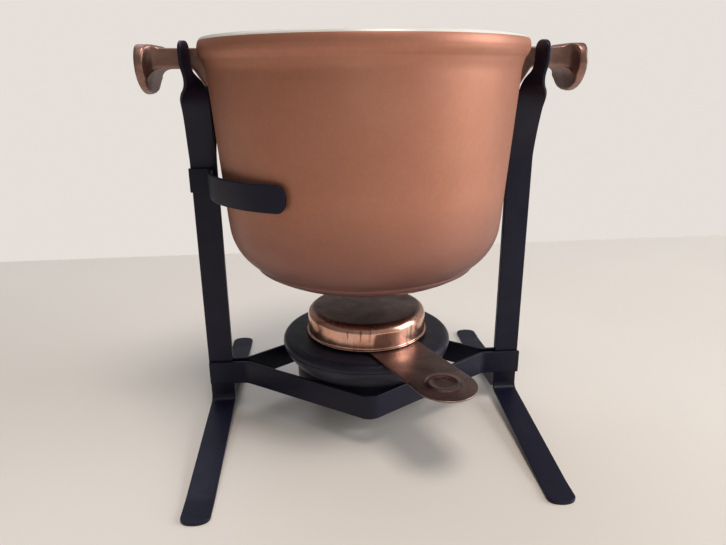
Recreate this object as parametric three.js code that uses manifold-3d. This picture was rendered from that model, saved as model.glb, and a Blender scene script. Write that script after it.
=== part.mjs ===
// Fondue set: a copper pot hung by two ears in a black strap-steel stand, over a burner with a snuffer cap.
// Millimetres. +Z is up and the table is Z 0. X runs from ear to ear and the front of the stand faces -Y.
import * as THREE from 'three';
import Module from 'manifold-3d';
import { mergeVertices } from 'three/addons/utils/BufferGeometryUtils.js';

// Strap steel of the stand
const STRAP_WIDTH = 15;
const STRAP_THICKNESS = 2;
const STRAP_BEND = 5;
const STRAP_END = 5.5;
const STRAP_END_POWER = 2.4;
const BEND_STEP = 0.2;

// Legs: two straps back to back on each side
const LEG_X = 93;
const LEG_TIP_X = 94;
const LEG_BOW = 1.6;
const LEG_BOW_START_Z = 166;
const LEG_BOW_END_Z = 196;
const LEG_RETURN_START_Z = 203;
const LEG_RETURN_END_Z = 217;
const FOOT_REACH = 109;
const FOOT_PAD = 17;
const FOOT_ROOT_Z = 8.2;
const FLARE_START_Z = 160;
const FLARE_END_Z = 212;
const FORK_Y = 22.2;
const TWIST = THREE.MathUtils.degToRad(84.5);
const TWIST_START_Z = 190;
const TWIST_END_Z = 211.5;
const FOOT_EASE = 30;
const FLARE_STEPS = 40;
const LEG_TOP_Z = 226.4;

// Brace straps that make the diamond round the burner
const BRACE_Z = 28.1;
const BRACE_BEND_X = 76.5;
const BRACE_BEND = 9;
const BRACE_END_X = 101.3;
const BRACE_FRONT_Y = 54.8;
const BRACE_BACK_Y = 60;
const BRACE_VERTEX_X = -1.5;
const BRACE_VERTEX_BEND = 8;

// Retaining arms that lie along the pot wall
const ARM_Z = 152;
const ARM_TIP_RISE = 1.2;
const ARM_WIDTH = 14;
const ARM_END_X = 101.3;
const ARM_CENTRE_X = 17;
const ARM_RADIUS = 71.1;
const ARM_SWEEP = 1.196;
const ARM_BEND = 3;
const ARM_STEPS = 16;

// Pot
const POT_TOP_Z = 228;
const POT_BOTTOM_Z = 93.2;
const POT_LIP_RADIUS = 90;
const POT_LIP_ROUND = 3;
const POT_LIP_Z = 222.5;
const POT_GROOVE_STEP = 0.8;
const POT_SHOULDER_RADIUS = 86.2;
const POT_SHOULDER_Z = 212;
const POT_BELLY_RADIUS = 80.4;
const POT_BELLY_Z = 131.7;
const POT_CORNER_X = 50.1;
const POT_CORNER_Z = 129;
const POT_CORNER_ROUND = 29.9;
const POT_CORNER_END = THREE.MathUtils.degToRad(57);
const POT_BASE_RADIUS = 39.4;
const POT_DISC_RADIUS = 66.4;
const POT_DISC_EDGE = 1.9;
const POT_DOME = 0.0124;
const POT_WALL = 2.5;
const POT_FLOOR = 3;
const POT_SIDES = 60;

// Ears of the pot
const EAR_TOP_Z = 225.1;
const EAR_ARM_TOP_Z = 223.3;
const EAR_RISE_START_X = 103;
const EAR_RISE_END_X = 112;
const EAR_ARM_BOTTOM_Z = 213;
const EAR_ARM_HALF = 13;
const EAR_TONGUE_HALF = 20.6;
const EAR_TONGUE_WIDE_Z = 215;
const EAR_TONGUE_FLAT_HALF = 12;
const EAR_TONGUE_INNER_X = 115.6;
const EAR_TONGUE_OUTER_X = 120.4;
const EAR_TIP_Z = 199.6;
const EAR_TIP_ROUND = 3;
const EAR_FILLET = 8;
const EAR_PLAN_FILLET = 7;
const EAR_GUSSET_X = 91.5;
const EAR_GUSSET_Z = 203.5;
const EAR_EDGE = 1.5;
const EAR_WALL_GAP = 0.3;
const EAR_BLANK = 60;

// Burner
const BURNER_X = 0.8;
const BURNER_Y = 2.2;
const PAN_BOTTOM_Z = 22;
const PAN_RADIUS = 44.8;
const PAN_SHOULDER_Z = 36.2;
const PAN_RIDGE_RADIUS = 50;
const PAN_RIDGE_Z = 41.5;
const FLANGE_RADIUS = 53.3;
const FLANGE_SEAM_Z = 48;
const COVER_TOP_Z = 52.8;
const COVER_ROUND = 4.2;
const SHELL = 1.2;
const NECK_RADIUS = 31;
const NECK_TOP_Z = 60;
const NECK_FOOT = 2.5;
const GAUZE_Z = 50.2;
const GAUZE_THICKNESS = 0.8;
const PAD_TOP_Z = 49.8;
const BURNER_SIDES = 48;

// Snuffer cap and its handle
const CAP_LIP_Z = 54.5;
const CAP_LIP_RADIUS = 38.2;
const CAP_LIP_HEIGHT = 1.3;
const CAP_RADIUS = 37.3;
const CAP_TOP_Z = 70;
const CAP_ROUND = 5.5;
const CAP_WALL = 1;
const HANDLE_DIRECTION = THREE.MathUtils.degToRad(24.7);
const HANDLE_HALF = 17;
const HANDLE_INNER = 33.6;
const HANDLE_REACH = 102.8;
const HANDLE_BOTTOM_Z = 53.25;
const HANDLE_TOP_Z = 54.25;
const HANDLE_DROOP = 0.0162;
const HANDLE_RING_AT = 83.8;
const HANDLE_RING_OUTER = 10;
const HANDLE_RING_INNER = 6;
const HANDLE_RING_HEIGHT = 0.7;

const wasm = await Module();
wasm.setup();

// ---- helpers ------------------------------------------------------------------------------------

function smoothstep(u) {
  const v = Math.min(1, Math.max(0, u));
  return v * v * (3 - 2 * v);
}

// A plain position-only geometry with merged vertices
function cleaned(geometry) {
  const copy = geometry.clone();
  copy.deleteAttribute('normal');
  copy.deleteAttribute('uv');
  return mergeVertices(copy, 1e-4);
}

function toSolid(geometry) {
  const merged = cleaned(geometry);
  return new wasm.Manifold(new wasm.Mesh({
    numProp: 3,
    vertProperties: new Float32Array(merged.attributes.position.array),
    triVerts: new Uint32Array(merged.index.array),
  }));
}

function toGeometry(solid) {
  const mesh = solid.getMesh();
  const geometry = new THREE.BufferGeometry();
  geometry.setAttribute('position', new THREE.BufferAttribute(new Float32Array(mesh.vertProperties), 3));
  geometry.setIndex(new THREE.BufferAttribute(new Uint32Array(mesh.triVerts), 1));
  geometry.computeVertexNormals();
  return geometry;
}

// Points of an elliptical arc in a profile, from angle a0 to a1
function arc(cx, cy, rx, ry, a0, a1, steps) {
  const points = [];
  for (let i = 0; i <= steps; i += 1) {
    const a = a0 + ((a1 - a0) * i) / steps;
    points.push([cx + rx * Math.cos(a), cy + ry * Math.sin(a)]);
  }
  return points;
}

// A turned solid: profile of [radius, z] pairs, axis up
function turned(profile, sides) {
  const points = profile.map(([r, z]) => new THREE.Vector2(r, z));
  const geometry = new THREE.LatheGeometry(points, sides);
  geometry.rotateX(Math.PI / 2);
  return geometry;
}

// A turned ring: the profile is closed on itself
function ring(profile, sides) {
  return turned([...profile, profile[0]], sides);
}

// A flat path with every inner corner rounded; corners are [a, b, bend radius]
function bentPath(corners) {
  const path = [];
  corners.forEach(([a, b, radius], i) => {
    const here = new THREE.Vector2(a, b);
    if (i === 0 || i === corners.length - 1 || !radius) {
      path.push(here);
      return;
    }
    const before = new THREE.Vector2(corners[i - 1][0], corners[i - 1][1]).sub(here).normalize();
    const after = new THREE.Vector2(corners[i + 1][0], corners[i + 1][1]).sub(here).normalize();
    const half = Math.acos(before.dot(after)) / 2;
    const setback = radius / Math.tan(half);
    const centre = before.clone().add(after).normalize().multiplyScalar(radius / Math.sin(half)).add(here);
    const start = here.clone().addScaledVector(before, setback).sub(centre);
    const turn = Math.PI - 2 * half;
    const way = Math.sign(before.x * after.y - before.y * after.x) * -1;
    const steps = Math.max(2, Math.ceil(turn / BEND_STEP));
    for (let k = 0; k <= steps; k += 1) {
      path.push(start.clone().rotateAround(new THREE.Vector2(), (way * turn * k) / steps).add(centre));
    }
  });
  return path;
}

// Distances from a strap's end at which its blunt round end is cut, with the half width there
function roundedEnd(half) {
  const cuts = [];
  const power = 2 / STRAP_END_POWER;
  for (let a = 0.12; a < 1.5; a += 0.22) {
    cuts.push([STRAP_END * (1 - Math.cos(a) ** power), half * Math.sin(a) ** power]);
  }
  return cuts;
}

// Adds rounded ends to a list of stations { p, w, h } whose first and last stretches are straight
function withRoundedEnds(stations, half, roundStart, roundEnd) {
  const list = stations.map((s) => ({ ...s, h: half }));
  const cut = (from, towards, keep) => {
    const way = towards.p.clone().sub(from.p).normalize();
    const tip = from.p.clone();
    const at = (d) => tip.clone().addScaledVector(way, d);
    const made = roundedEnd(half).map(([d, h]) => ({ p: at(d), w: from.w.clone(), h }));
    made.push({ p: at(keep), w: from.w.clone(), h: half });
    return made;
  };
  let out = list;
  if (roundStart) {
    out = [...cut(list[0], list[1], STRAP_END), ...out.slice(1)];
  }
  if (roundEnd) {
    const last = list.length - 1;
    out = [...out.slice(0, -1), ...cut(list[last], list[last - 1], STRAP_END).reverse()];
  }
  return out;
}

// A strap: a flat bar swept through stations { p centre, w width direction, h half width }
function strap(stations) {
  const positions = [];
  const count = stations.length;
  stations.forEach((s, i) => {
    const before = stations[Math.max(i - 1, 0)].p;
    const tangent = stations[Math.min(i + 1, count - 1)].p.clone().sub(before).normalize();
    const w = s.w.clone().addScaledVector(tangent, -s.w.dot(tangent)).normalize();
    const t = new THREE.Vector3().crossVectors(tangent, w);
    [[-1, -1], [1, -1], [1, 1], [-1, 1]].forEach(([a, b]) => {
      const corner = s.p.clone().addScaledVector(w, a * s.h).addScaledVector(t, (b * STRAP_THICKNESS) / 2);
      positions.push(corner.x, corner.y, corner.z);
    });
  });
  const index = [0, 2, 1, 0, 3, 2];
  for (let i = 0; i < count - 1; i += 1) {
    for (let k = 0; k < 4; k += 1) {
      const a = i * 4 + k;
      const b = i * 4 + ((k + 1) % 4);
      index.push(a, b, b + 4, a, b + 4, a + 4);
    }
  }
  const e = (count - 1) * 4;
  index.push(e, e + 1, e + 2, e, e + 2, e + 3);
  const geometry = new THREE.BufferGeometry();
  geometry.setAttribute('position', new THREE.Float32BufferAttribute(positions, 3));
  geometry.setIndex(index);
  geometry.computeVertexNormals();
  return geometry;
}

// Turns a geometry inside out, for a mirrored path
function mirrored(geometry, sx, sy) {
  geometry.scale(sx, sy, 1);
  if (sx * sy < 0) {
    const order = geometry.index.array;
    for (let i = 0; i < order.length; i += 3) {
      [order[i + 1], order[i + 2]] = [order[i + 2], order[i + 1]];
    }
  }
  geometry.computeVertexNormals();
  return geometry;
}

// ---- stand --------------------------------------------------------------------------------------

// One leg strap of the front right, from the foot's tip to the fork's tip; the others are its mirror images
function legStrap() {
  const half = STRAP_WIDTH / 2;
  const across = new THREE.Vector3(1, 0, 0);
  const inset = STRAP_THICKNESS / 2;
  const lower = bentPath([
    [-FOOT_REACH, inset, 0],
    [-FOOT_REACH + FOOT_PAD, inset, FOOT_EASE],
    [-inset, FOOT_ROOT_Z, STRAP_BEND],
    [-inset, FLARE_START_Z, 0],
  ]);
  const stations = lower.map((q) => ({ p: new THREE.Vector3(LEG_X, q.x, q.y), w: across }));
  for (let i = 1; i <= FLARE_STEPS; i += 1) {
    const z = FLARE_START_Z + ((LEG_TOP_Z - FLARE_START_Z) * i) / FLARE_STEPS;
    const flare = smoothstep((z - FLARE_START_Z) / (FLARE_END_Z - FLARE_START_Z));
    const bow = smoothstep((z - LEG_BOW_START_Z) / (LEG_BOW_END_Z - LEG_BOW_START_Z));
    const back = smoothstep((z - LEG_RETURN_START_Z) / (LEG_RETURN_END_Z - LEG_RETURN_START_Z));
    const turn = TWIST * smoothstep((z - TWIST_START_Z) / (TWIST_END_Z - TWIST_START_Z));
    const y = -inset - (FORK_Y - inset) * flare;
    const x = LEG_X - LEG_BOW * bow + (LEG_TIP_X - LEG_X + LEG_BOW) * back;
    const w = new THREE.Vector3(Math.cos(turn), -Math.sin(turn), 0);
    stations.push({ p: new THREE.Vector3(x, y, z), w });
  }
  const tip = stations[stations.length - 1];
  const kept = stations.filter((s) => s.p.z < LEG_TOP_Z - half);
  kept.push({ p: tip.p, w: tip.w });
  return strap(withRoundedEnds(kept, half, true, true));
}

// A brace strap: laps on the face of both legs and bends out to a vertex
function braceStrap(vertexY, vertexX) {
  const faceY = STRAP_THICKNESS * 1.5;
  const plan = bentPath([
    [-BRACE_END_X + 1, -faceY, 0],
    [-BRACE_BEND_X, -faceY, BRACE_BEND],
    [vertexX, -vertexY, BRACE_VERTEX_BEND],
    [BRACE_BEND_X, -faceY, BRACE_BEND],
    [BRACE_END_X, -faceY, 0],
  ]);
  const up = new THREE.Vector3(0, 0, 1);
  return strap(plan.map((q) => ({ p: new THREE.Vector3(q.x, q.y, BRACE_Z), w: up, h: STRAP_WIDTH / 2 })));
}

// A retaining arm: laps on the front of the left leg, bends out and follows the pot wall
function armStrap() {
  const faceY = STRAP_THICKNESS * 1.5;
  const half = ARM_WIDTH / 2;
  const up = new THREE.Vector3(0, 0, 1);
  const bendX = -ARM_CENTRE_X - ARM_RADIUS;
  const arcY = -faceY - ARM_BEND;
  const corner = bentPath([
    [-ARM_END_X, -faceY, 0],
    [bendX, -faceY, ARM_BEND],
    [bendX, arcY - 1, 0],
  ]);
  const lap = corner.slice(0, -1).map((q) => new THREE.Vector3(q.x, q.y, ARM_Z));
  const stations = lap.map((p) => ({ p, w: up, h: half }));
  const along = (sweep, h) => {
    const x = -ARM_CENTRE_X - ARM_RADIUS * Math.cos(sweep);
    const z = ARM_Z + (ARM_TIP_RISE * sweep) / ARM_SWEEP;
    stations.push({ p: new THREE.Vector3(x, arcY - ARM_RADIUS * Math.sin(sweep), z), w: up, h });
  };
  const straight = ARM_SWEEP - STRAP_END / ARM_RADIUS;
  for (let i = 1; i <= ARM_STEPS; i += 1) {
    along((straight * i) / ARM_STEPS, half);
  }
  roundedEnd(half).reverse().forEach(([d, h]) => along(ARM_SWEEP - d / ARM_RADIUS, h));
  return strap(stations);
}

// ---- pot ----------------------------------------------------------------------------------------

// Height of the domed base above its lowest point at a given radius
function domeRise(radius) {
  return POT_DOME * Math.max(0, radius - POT_BASE_RADIUS) ** 2;
}

function dome(edge, lift, steps) {
  const points = [];
  for (let i = 0; i <= steps; i += 1) {
    const radius = POT_BASE_RADIUS + ((edge - POT_BASE_RADIUS) * i) / steps;
    points.push([radius, POT_BOTTOM_Z + lift + domeRise(radius)]);
  }
  return points;
}

function potOuterProfile() {
  const slope = (POT_SHOULDER_RADIUS - POT_BELLY_RADIUS) / (POT_SHOULDER_Z - POT_BELLY_Z);
  const round = POT_CORNER_ROUND;
  const discTop = POT_CORNER_Z - round * Math.sin(POT_CORNER_END);
  const groove = POT_SHOULDER_RADIUS + POT_GROOVE_STEP;
  const lipX = POT_LIP_RADIUS - POT_LIP_ROUND;
  return [
    [0, POT_BOTTOM_Z],
    ...dome(POT_DISC_RADIUS - POT_DISC_EDGE, 0, 5),
    [POT_DISC_RADIUS - POT_DISC_EDGE / 3, discTop - 2],
    [POT_DISC_RADIUS, discTop - POT_DISC_EDGE / 3],
    ...arc(POT_CORNER_X, POT_CORNER_Z, round, round, -POT_CORNER_END, -slope, 7),
    [POT_SHOULDER_RADIUS - slope * 40, POT_SHOULDER_Z - 40],
    [POT_SHOULDER_RADIUS, POT_SHOULDER_Z],
    [groove, POT_SHOULDER_Z + 3.3],
    [groove + 0.6, POT_SHOULDER_Z + 5.2],
    [groove + 1.7, POT_SHOULDER_Z + 6.6],
    [POT_LIP_RADIUS - 0.4, POT_SHOULDER_Z + 8.3],
    ...arc(lipX, POT_LIP_Z, POT_LIP_ROUND, POT_TOP_Z - POT_LIP_Z, 0, Math.PI / 2, 5),
  ];
}

function potInnerProfile() {
  const slope = (POT_SHOULDER_RADIUS - POT_BELLY_RADIUS) / (POT_SHOULDER_Z - POT_BELLY_Z);
  const round = POT_CORNER_ROUND - POT_WALL;
  return [
    [POT_SHOULDER_RADIUS - POT_WALL + 1.2, POT_TOP_Z - 0.8],
    [POT_SHOULDER_RADIUS - POT_WALL + 0.2, POT_TOP_Z - 4],
    [POT_SHOULDER_RADIUS - POT_WALL, POT_SHOULDER_Z],
    ...arc(POT_CORNER_X, POT_CORNER_Z, round, round, -slope, -POT_CORNER_END, 6),
    ...dome(POT_DISC_RADIUS - POT_WALL - POT_DISC_EDGE, POT_FLOOR, 4).reverse(),
    [0, POT_BOTTOM_Z + POT_FLOOR],
  ];
}

const potBody = turned([...potOuterProfile(), ...potInnerProfile()], POT_SIDES);

// The right ear, cast in one: arm, down-turned tongue, and a web under the arm where it meets the wall
function earGeometry() {
  const side = new THREE.Shape();
  side.moveTo(POT_BELLY_RADIUS, EAR_ARM_TOP_Z);
  side.lineTo(EAR_RISE_START_X, EAR_ARM_TOP_Z);
  side.quadraticCurveTo(EAR_RISE_END_X - EAR_EDGE, EAR_ARM_TOP_Z, EAR_RISE_END_X, EAR_TOP_Z);
  side.lineTo(EAR_TONGUE_OUTER_X - EAR_EDGE, EAR_TOP_Z);
  side.absarc(EAR_TONGUE_OUTER_X - EAR_EDGE, EAR_TOP_Z - EAR_EDGE, EAR_EDGE, Math.PI / 2, 0, true);
  side.lineTo(EAR_TONGUE_OUTER_X, EAR_TIP_Z);
  side.lineTo(EAR_TONGUE_INNER_X + EAR_TIP_ROUND, EAR_TIP_Z);
  side.quadraticCurveTo(EAR_TONGUE_INNER_X, EAR_TIP_Z, EAR_TONGUE_INNER_X, EAR_TIP_Z + EAR_TIP_ROUND);
  side.lineTo(EAR_TONGUE_INNER_X, EAR_ARM_BOTTOM_Z - EAR_FILLET);
  const filletX = EAR_TONGUE_INNER_X - EAR_FILLET;
  side.absarc(filletX, EAR_ARM_BOTTOM_Z - EAR_FILLET, EAR_FILLET, 0, Math.PI / 2, false);
  side.lineTo(EAR_GUSSET_X + EAR_EDGE, EAR_ARM_BOTTOM_Z);
  side.lineTo(EAR_GUSSET_X, EAR_ARM_BOTTOM_Z - 1);
  side.lineTo(POT_SHOULDER_RADIUS, EAR_GUSSET_Z);
  side.lineTo(POT_BELLY_RADIUS, EAR_GUSSET_Z);
  side.closePath();
  const blank = { depth: EAR_BLANK, bevelEnabled: false, curveSegments: 6 };
  const sideSolid = new THREE.ExtrudeGeometry(side, blank);
  sideSolid.translate(0, 0, -EAR_BLANK / 2);
  sideSolid.rotateX(Math.PI / 2);

  const plan = new THREE.Shape();
  const flareX = EAR_TONGUE_INNER_X - EAR_PLAN_FILLET;
  const wide = EAR_TONGUE_HALF + 1;
  plan.moveTo(POT_BELLY_RADIUS - 5, -EAR_ARM_HALF);
  plan.lineTo(flareX, -EAR_ARM_HALF);
  plan.quadraticCurveTo(EAR_TONGUE_INNER_X, -EAR_ARM_HALF, EAR_TONGUE_INNER_X, -wide);
  plan.lineTo(EAR_TONGUE_OUTER_X + 5, -wide);
  plan.lineTo(EAR_TONGUE_OUTER_X + 5, wide);
  plan.lineTo(EAR_TONGUE_INNER_X, wide);
  plan.quadraticCurveTo(EAR_TONGUE_INNER_X, EAR_ARM_HALF, flareX, EAR_ARM_HALF);
  plan.lineTo(POT_BELLY_RADIUS - 5, EAR_ARM_HALF);
  plan.closePath();
  const planSolid = new THREE.ExtrudeGeometry(plan, blank);
  planSolid.translate(0, 0, EAR_TIP_Z - 10);

  // Seen along X the tongue is a half ellipse below its widest line, with round corners above it
  const face = new THREE.Shape();
  const shoulder = EAR_TONGUE_HALF - EAR_TONGUE_FLAT_HALF;
  const rise = EAR_TOP_Z + 0.5 - EAR_TONGUE_WIDE_Z;
  const drop = EAR_TONGUE_WIDE_Z - EAR_TIP_Z;
  face.absellipse(EAR_TONGUE_FLAT_HALF, EAR_TONGUE_WIDE_Z, shoulder, rise, 0, Math.PI / 2, false);
  face.absellipse(-EAR_TONGUE_FLAT_HALF, EAR_TONGUE_WIDE_Z, shoulder, rise, Math.PI / 2, Math.PI, false);
  face.absellipse(0, EAR_TONGUE_WIDE_Z, EAR_TONGUE_HALF, drop, Math.PI, 2 * Math.PI, false);
  const faceSolid = new THREE.ExtrudeGeometry(face, blank);
  faceSolid.rotateX(Math.PI / 2);
  faceSolid.rotateZ(Math.PI / 2);
  faceSolid.translate(POT_BELLY_RADIUS - 10, 0, 0);

  const wall = [
    [0, POT_BOTTOM_Z],
    ...potOuterProfile().slice(1).map(([r, z]) => [r + EAR_WALL_GAP, z]),
    [POT_LIP_RADIUS - POT_LIP_ROUND + EAR_WALL_GAP, POT_TOP_Z + 5],
    [0, POT_TOP_Z + 5],
  ];
  const potSolid = toSolid(turned(wall, POT_SIDES * 2));
  const cast = toSolid(sideSolid).intersect(toSolid(planSolid)).intersect(toSolid(faceSolid));
  return toGeometry(cast.subtract(potSolid));
}

// ---- burner -------------------------------------------------------------------------------------

const burnerPan = turned([
  [0, PAN_BOTTOM_Z],
  ...arc(PAN_RADIUS - 3, PAN_BOTTOM_Z + 3, 3, 3, -Math.PI / 2, 0, 4),
  [PAN_RADIUS, PAN_SHOULDER_Z],
  [PAN_RADIUS + 1.6, PAN_SHOULDER_Z],
  [PAN_RIDGE_RADIUS - 0.8, PAN_RIDGE_Z - 1.6],
  [PAN_RIDGE_RADIUS, PAN_RIDGE_Z],
  [FLANGE_RADIUS - 1, FLANGE_SEAM_Z - 3],
  [FLANGE_RADIUS, FLANGE_SEAM_Z],
  [FLANGE_RADIUS - SHELL, FLANGE_SEAM_Z],
  [FLANGE_RADIUS - 1 - SHELL, FLANGE_SEAM_Z - 2.6],
  [PAN_RIDGE_RADIUS - SHELL, PAN_RIDGE_Z + 0.4],
  [PAN_RADIUS + 1, PAN_SHOULDER_Z + SHELL],
  [PAN_RADIUS - SHELL, PAN_SHOULDER_Z + SHELL],
  ...arc(PAN_RADIUS - 3, PAN_BOTTOM_Z + 3, 3 - SHELL, 3 - SHELL, 0, -Math.PI / 2, 3),
  [0, PAN_BOTTOM_Z + SHELL],
], BURNER_SIDES);

const coverBore = NECK_RADIUS - SHELL - 0.3;
const coverX = FLANGE_RADIUS - COVER_ROUND;
const coverZ = COVER_TOP_Z - COVER_ROUND;
const burnerCover = ring([
  [FLANGE_RADIUS, FLANGE_SEAM_Z],
  ...arc(coverX, coverZ, COVER_ROUND, COVER_ROUND, 0, Math.PI / 2, 5),
  [coverBore, COVER_TOP_Z],
  [coverBore, COVER_TOP_Z - SHELL],
  ...arc(coverX, coverZ, COVER_ROUND - SHELL, COVER_ROUND - SHELL, Math.PI / 2, 0, 4),
  [FLANGE_RADIUS - SHELL, FLANGE_SEAM_Z],
], BURNER_SIDES);

// The neck is an L-shaped ring standing on the cover
const burnerNeck = ring([
  [NECK_RADIUS - SHELL, COVER_TOP_Z],
  [NECK_RADIUS + NECK_FOOT - SHELL, COVER_TOP_Z],
  [NECK_RADIUS + NECK_FOOT - SHELL, COVER_TOP_Z + 0.25],
  [NECK_RADIUS, COVER_TOP_Z + 0.25],
  [NECK_RADIUS, NECK_TOP_Z - 0.4],
  [NECK_RADIUS - 0.4, NECK_TOP_Z],
  [NECK_RADIUS - SHELL + 0.4, NECK_TOP_Z],
  [NECK_RADIUS - SHELL, NECK_TOP_Z - 0.4],
], BURNER_SIDES);

const gauze = turned([
  [0, GAUZE_Z],
  [NECK_RADIUS + 4, GAUZE_Z],
  [NECK_RADIUS + 4, GAUZE_Z + GAUZE_THICKNESS],
  [0, GAUZE_Z + GAUZE_THICKNESS],
], BURNER_SIDES);

const absorbentPad = turned([
  [0, PAN_BOTTOM_Z + SHELL + 0.2],
  [PAN_RADIUS - 4.5, PAN_BOTTOM_Z + SHELL + 0.2],
  [PAN_RADIUS - 2.5, PAN_BOTTOM_Z + SHELL + 2.5],
  [PAN_RADIUS - 2.5, PAD_TOP_Z - 1.5],
  [PAN_RADIUS - 4, PAD_TOP_Z],
  [0, PAD_TOP_Z],
], 48);

const capX = CAP_RADIUS - CAP_ROUND;
const capZ = CAP_TOP_Z - CAP_ROUND;
const capShoulder = arc(capX, capZ, CAP_ROUND, CAP_ROUND, 0, Math.PI / 2, 5);
const capInside = arc(capX, capZ, CAP_ROUND - CAP_WALL, CAP_ROUND - CAP_WALL, Math.PI / 2, 0, 4);
const snufferCap = turned([
  [0, CAP_TOP_Z - CAP_WALL],
  ...capInside,
  [CAP_RADIUS - CAP_WALL, CAP_LIP_Z],
  [CAP_LIP_RADIUS - 0.3, CAP_LIP_Z],
  [CAP_LIP_RADIUS, CAP_LIP_Z + 0.4],
  [CAP_LIP_RADIUS, CAP_LIP_Z + CAP_LIP_HEIGHT - 0.3],
  [CAP_RADIUS, CAP_LIP_Z + CAP_LIP_HEIGHT],
  ...capShoulder,
  [0, CAP_TOP_Z],
], BURNER_SIDES);

// The handle is one pressed strip that droops to its round tip, with a raised ring near the tip
function handleGeometry() {
  const tipCentre = HANDLE_REACH - HANDLE_HALF;
  const rootRadius = Math.hypot(HANDLE_INNER, HANDLE_HALF);
  const rootAngle = Math.atan2(HANDLE_HALF, HANDLE_INNER);
  const shape = new THREE.Shape();
  shape.moveTo(HANDLE_INNER, -HANDLE_HALF);
  shape.lineTo(tipCentre, -HANDLE_HALF);
  shape.absarc(tipCentre, 0, HANDLE_HALF, -Math.PI / 2, Math.PI / 2, false);
  shape.lineTo(HANDLE_INNER, HANDLE_HALF);
  shape.absarc(0, 0, rootRadius, rootAngle, -rootAngle, true);
  const plate = new THREE.ExtrudeGeometry(shape, {
    depth: HANDLE_TOP_Z - HANDLE_BOTTOM_Z, bevelEnabled: false, curveSegments: 20,
  });
  plate.translate(0, 0, HANDLE_BOTTOM_Z);
  const ridge = (HANDLE_RING_OUTER - HANDLE_RING_INNER) / 4;
  const bead = ring([
    [HANDLE_RING_INNER, HANDLE_TOP_Z - 0.5],
    [HANDLE_RING_OUTER, HANDLE_TOP_Z - 0.5],
    [HANDLE_RING_OUTER, HANDLE_TOP_Z],
    [HANDLE_RING_OUTER - ridge, HANDLE_TOP_Z + HANDLE_RING_HEIGHT * 0.7],
    [HANDLE_RING_OUTER - 2 * ridge, HANDLE_TOP_Z + HANDLE_RING_HEIGHT],
    [HANDLE_RING_INNER + ridge, HANDLE_TOP_Z + HANDLE_RING_HEIGHT * 0.7],
    [HANDLE_RING_INNER, HANDLE_TOP_Z],
  ], 40);
  bead.translate(HANDLE_RING_AT, 0, 0);
  const strip = toGeometry(toSolid(plate).add(toSolid(bead)));
  strip.translate(-HANDLE_INNER, 0, -HANDLE_TOP_Z);
  strip.rotateY(HANDLE_DROOP);
  strip.translate(HANDLE_INNER, 0, HANDLE_TOP_Z);
  return strip;
}

// ---- materials ----------------------------------------------------------------------------------

const standPaint = new THREE.MeshStandardMaterial({ color: 0x1d1e27, roughness: 0.38, metalness: 0.2 });
const potCopper = new THREE.MeshStandardMaterial({ color: 0xb07a5c, roughness: 0.34, metalness: 0.85 });
const burnerPaint = new THREE.MeshStandardMaterial({ color: 0x241f25, roughness: 0.34, metalness: 0.3 });
const capCopper = new THREE.MeshStandardMaterial({ color: 0xc98a67, roughness: 0.22, metalness: 0.95 });
const handleCopper = new THREE.MeshStandardMaterial({ color: 0x7a5e51, roughness: 0.4, metalness: 0.8 });
const gauzeSteel = new THREE.MeshStandardMaterial({ color: 0x8b8a86, roughness: 0.5, metalness: 0.8 });
const padWool = new THREE.MeshStandardMaterial({ color: 0xd8d2c4, roughness: 0.95, metalness: 0 });

// ---- assembly -----------------------------------------------------------------------------------

const group = new THREE.Group();

function addPiece(parent, name, geometry, material) {
  const mesh = new THREE.Mesh(geometry, material);
  mesh.name = name;
  parent.add(mesh);
  return mesh;
}

addPiece(group, 'leg_front_right', legStrap(), standPaint);
addPiece(group, 'leg_front_left', mirrored(legStrap(), -1, 1), standPaint);
addPiece(group, 'leg_back_right', mirrored(legStrap(), 1, -1), standPaint);
addPiece(group, 'leg_back_left', mirrored(legStrap(), -1, -1), standPaint);
addPiece(group, 'brace_front', braceStrap(BRACE_FRONT_Y, BRACE_VERTEX_X), standPaint);
addPiece(group, 'brace_back', mirrored(braceStrap(BRACE_BACK_Y, 0), -1, -1), standPaint);
addPiece(group, 'arm_front_left', armStrap(), standPaint);
addPiece(group, 'arm_back_right', mirrored(armStrap(), -1, -1), standPaint);

addPiece(group, 'pot_body', potBody, potCopper);
addPiece(group, 'pot_ear_right', earGeometry(), potCopper);
addPiece(group, 'pot_ear_left', mirrored(earGeometry(), -1, 1), potCopper);

const burner = new THREE.Group();
burner.position.set(BURNER_X, BURNER_Y, 0);
group.add(burner);
addPiece(burner, 'burner_pan', burnerPan, burnerPaint);
addPiece(burner, 'burner_cover', burnerCover, burnerPaint);
addPiece(burner, 'burner_neck', burnerNeck, burnerPaint);
addPiece(burner, 'burner_gauze', gauze, gauzeSteel);
addPiece(burner, 'burner_pad', absorbentPad, padWool);
addPiece(burner, 'snuffer_cap', snufferCap, capCopper);
const handle = addPiece(burner, 'snuffer_handle', handleGeometry(), handleCopper);
handle.rotation.z = HANDLE_DIRECTION - Math.PI / 2;

export default group;
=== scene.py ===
import math
import bpy
import numpy as np
from mathutils import Matrix, Vector


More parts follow.
